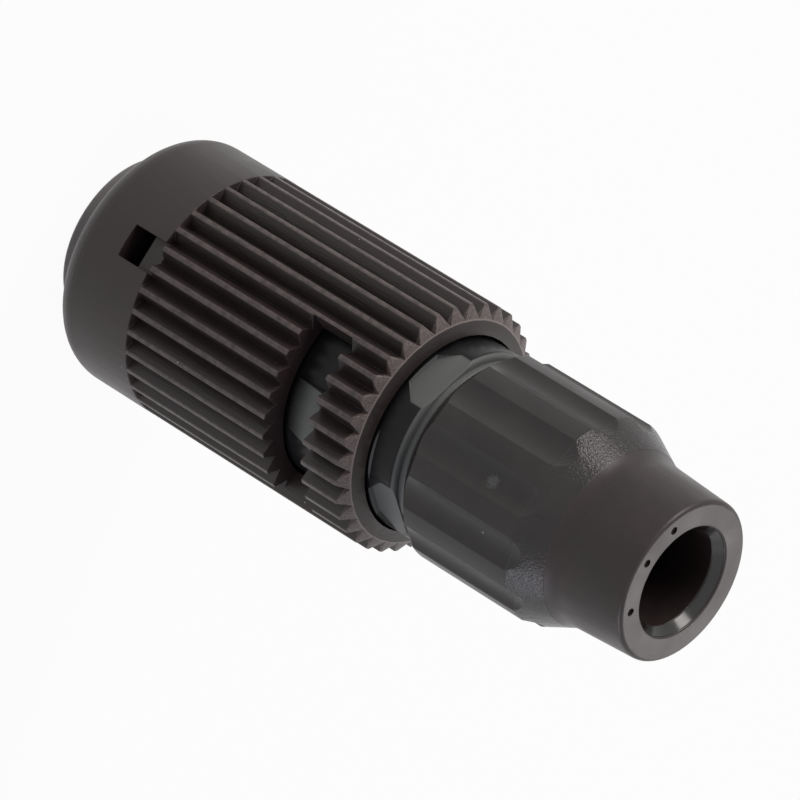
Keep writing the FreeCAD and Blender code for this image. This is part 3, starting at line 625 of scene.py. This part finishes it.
pressed, tree, place = new_material("nitrile_rubber_pressed")
bloom = drift(tree, place, BLOOM_PATCH, 0.0, BLOOM_MOST, BLOOM_SPREAD, 4.0, 0.65)
tint = add_node(tree, "Mix", {0: bloom, 6: linear(RUBBER_SHADE), 7: linear(RUBBER_BLOOM)}, 2,
                data_type="RGBA")
dull = add_node(tree, "MapRange", {"Value": bloom, "From Max": BLOOM_MOST,
                                   "To Min": RUBBER_ROUGHNESS[0], "To Max": RUBBER_ROUGHNESS[1]})
grain = add_node(tree, "TexNoise", {"Vector": place, "Scale": 1 / RUBBER_GRAIN})
finish_surface(tree, tint, dull, grain, RUBBER_DEPTH, IOR=RUBBER_IOR)
for seal in ("nose_seal_ring", "sleeve_drag_ring", "spigot_seal_ring", "flange_gasket",
             "cable_seal"):
    dress(nodes[seal], pressed)

# Washers and clamp cage: natural acetal, off-white and a little waxy. The
# sleeve slides on one washer, and the nut presses the cage's fingers shut
# through the other. The washers are punched and the cage is moulded.
ACETAL_SHADE = "#cbc6b8"
ACETAL_LIGHT = "#ddd9cd"
ACETAL_CLOUD = 2 * MM
ACETAL_PATCH = 1 * MM
ACETAL_ROUGHNESS = (0.3, 0.42)
ACETAL_IOR = 1.48
ACETAL_GRAIN = 0.1 * MM
ACETAL_DEPTH = 0.003 * MM

waxy, tree, place = new_material("acetal_natural")
tint = mottle(tree, place, ACETAL_CLOUD, ACETAL_SHADE, ACETAL_LIGHT)
dull = drift(tree, place, ACETAL_PATCH, *ACETAL_ROUGHNESS)
grain = add_node(tree, "TexNoise", {"Vector": place, "Scale": 1 / ACETAL_GRAIN, "Detail": 3.0})
finish_surface(tree, tint, dull, grain, ACETAL_DEPTH, IOR=ACETAL_IOR)
for washer in ("slide_washer", "thrust_washer"):
    dress(nodes[washer], waxy)

cage = free_copy("clamp_cage", "finger_cage")
round_edges(cage)
dress(cage, waxy)
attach(cage, "connector")
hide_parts("clamp_cage")

# Gland nut: a fluted cap that presses the cable seal shut. Polyamide again,
# cooler on the grip, warmer on the neck. The tool's cone was left coarse, so
# that it sparkles in the light as far as a sharp line where the neck begins.
GRIP_SHADE = "#1f1b1a"
GRIP_LIGHT = "#2c2827"
NECK_SHADE = "#261e1e"
NECK_LIGHT = "#312828"
NUT_CLOUD = 3 * MM
NUT_ROUGHNESS = (0.34, 0.44)
NUT_IOR = 1.42
NUT_STREAK = 0.2 * MM
NUT_STRETCH = 0.08
NUT_STREAK_RELIEF = 0.25
NUT_FIBRE_RELIEF = 0.12
CONE_START = 45.15 * MM
CONE_END = 47.6 * MM
CONE_ROUGHNESS = 0.26
CONE_RELIEF = 1.5
LINE_SOFTNESS = 0.06 * MM
BLEMISH_BEARING = -83
BLEMISH_HEIGHT = 41.85 * MM
BLEMISH_SIZE = 0.6 * MM
BLEMISH_EDGE = (0.6, 1.0)
RAGGED_SIZE = 0.12 * MM
RAGGED_REACH = 0.3
BLEMISH_PALE = "#5a5a5a"
BLEMISH_SHARE = 0.7
BLEMISH_RELIEF = -1.5
MOUTH_REACH = 5 * MM

cap, tree, place = new_material("polyamide_moulded_eroded_finish")
height = add_node(tree, "SeparateXYZ", {0: place}, 2)
line = (CONE_END, CONE_END + LINE_SOFTNESS)
on_neck = add_node(tree, "MapRange", {"Value": height, "From Min": line[0], "From Max": line[1]})
on_cone = band(tree, height, (CONE_START, CONE_START + LINE_SOFTNESS), line)
tint = mottle(tree, place, NUT_CLOUD, GRIP_SHADE, GRIP_LIGHT)
warmer = mottle(tree, place, NUT_CLOUD, NECK_SHADE, NECK_LIGHT)
tint = add_node(tree, "Mix", {0: on_neck, 6: tint, 7: warmer}, 2, data_type="RGBA")
specks = dust(tree, place)
tint = add_node(tree, "Mix", {0: specks, 6: tint, 7: linear(DUST_COLOUR)}, 2, data_type="RGBA")
blemish = oval_mark(tree, place, BLEMISH_BEARING, BLEMISH_HEIGHT, BLEMISH_SIZE, BLEMISH_SIZE)
ragged = drift(tree, place, RAGGED_SIZE, -RAGGED_REACH, RAGGED_REACH)
blemish = add_node(tree, "Math", {0: blemish, 1: ragged}, operation="ADD")
blemish = add_node(tree, "MapRange", {"Value": blemish, "From Min": BLEMISH_EDGE[1],
                                      "From Max": BLEMISH_EDGE[0]})
smeared = add_node(tree, "Math", {0: blemish, 1: BLEMISH_SHARE}, operation="MULTIPLY")
tint = add_node(tree, "Mix", {0: smeared, 6: tint, 7: linear(BLEMISH_PALE)}, 2, data_type="RGBA")
fibres = add_node(tree, "TexNoise", {"Vector": place, "Scale": 1 / FIBRE, "Detail": 3.0,
                                     "Roughness": 0.7})
fibres = add_node(tree, "Math", {0: fibres, 1: NUT_FIBRE_RELIEF}, operation="MULTIPLY")
pitted = add_node(tree, "TexNoise", {"Vector": place, "Scale": 1 / EROSION, "Roughness": 0.6})
pitted = add_node(tree, "Math", {0: pitted, 1: CONE_RELIEF}, operation="MULTIPLY")
relief = add_node(tree, "Mix", {"Factor": on_cone, "A": fibres, "B": pitted})
streaks = draw_marks(tree, place, NUT_STREAK, NUT_STRETCH, NUT_STREAK_RELIEF)
relief = add_node(tree, "Math", {0: relief, 1: streaks}, operation="ADD")
dent = add_node(tree, "Math", {0: blemish, 1: BLEMISH_RELIEF}, operation="MULTIPLY")
relief = add_node(tree, "Math", {0: relief, 1: dent}, operation="ADD")
dull = drift(tree, place, NUT_CLOUD, *NUT_ROUGHNESS)
dull = add_node(tree, "Mix", {"Factor": on_cone, "A": dull, "B": CONE_ROUGHNESS})
finish_surface(tree, tint, dull, relief, RELIEF_DEPTH, IOR=NUT_IOR)

nut = free_copy("gland_nut", "fluted_nut")
round_edges(nut, sharp_within=MOUTH_REACH, crisp_below=CONE_END)
dress(nut, cap)
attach(nut, "gland_nut")
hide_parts("gland_nut")

# Lead-in ring: a moulded cone pressed into the nut's mouth, which leads the
# cable into the bore. It has the tool's polish, so it throws back one bright
# patch of the lamp.
LEAD_OUTER = 4.14 * MM
LEAD_INNER = 3.66 * MM
LEAD_FLOOR = 53.45 * MM
LEAD_TOP = 54.0 * MM
LEAD_SIDES = 96
LEAD_SHADE = "#131211"
LEAD_LIGHT = "#1c1b19"
LEAD_PATCH = 1 * MM
LEAD_ROUGHNESS = (0.14, 0.22)
LEAD_IOR = 1.5
LEAD_RIPPLE = 0.2 * MM
LEAD_SEAM = 1e-6

lead_in_gloss, tree, place = new_material("polyamide_moulded_gloss")
tint = mottle(tree, place, LEAD_PATCH, LEAD_SHADE, LEAD_LIGHT)
gloss = drift(tree, place, LEAD_PATCH, *LEAD_ROUGHNESS)
ripple = add_node(tree, "TexNoise", {"Vector": place, "Scale": 1 / LEAD_RIPPLE})
finish_surface(tree, tint, gloss, ripple, RIPPLE_DEPTH, IOR=LEAD_IOR)

bpy.ops.object.select_all(action="DESELECT")
bpy.ops.mesh.primitive_circle_add(vertices=LEAD_SIDES, radius=LEAD_OUTER,
                                  location=(0, 0, LEAD_TOP))
lead_in = bpy.context.object
lead_in.name = "cable_lead_in"
bpy.ops.object.transform_apply(location=True, rotation=True, scale=True)
bpy.ops.object.mode_set(mode="EDIT")
bpy.ops.mesh.select_all(action="SELECT")
# The cone runs down to its small end, then the hidden floor and outer wall close the ring.
for radius, level in ((LEAD_INNER, LEAD_FLOOR), (LEAD_OUTER, LEAD_FLOOR), (LEAD_OUTER, LEAD_TOP)):
    mesh = bmesh.from_edit_mesh(lead_in.data)
    ring = [corner for corner in mesh.verts if corner.select]
    step = radius / ring[0].co.xy.length
    drop = level - ring[0].co.z
    bpy.ops.mesh.extrude_edges_indiv()
    bpy.ops.transform.resize(value=(step, step, 1.0), center_override=(0, 0, 0))
    bpy.ops.transform.translate(value=(0, 0, drop))
bpy.ops.mesh.select_all(action="SELECT")
bpy.ops.mesh.remove_doubles(threshold=LEAD_SEAM)
bpy.ops.mesh.normals_make_consistent(inside=False)
bpy.ops.object.mode_set(mode="OBJECT")
bpy.ops.object.shade_smooth_by_angle(angle=radians(SMOOTH_TURN))
dress(lead_in, lead_in_gloss)
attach(lead_in, "gland_nut")
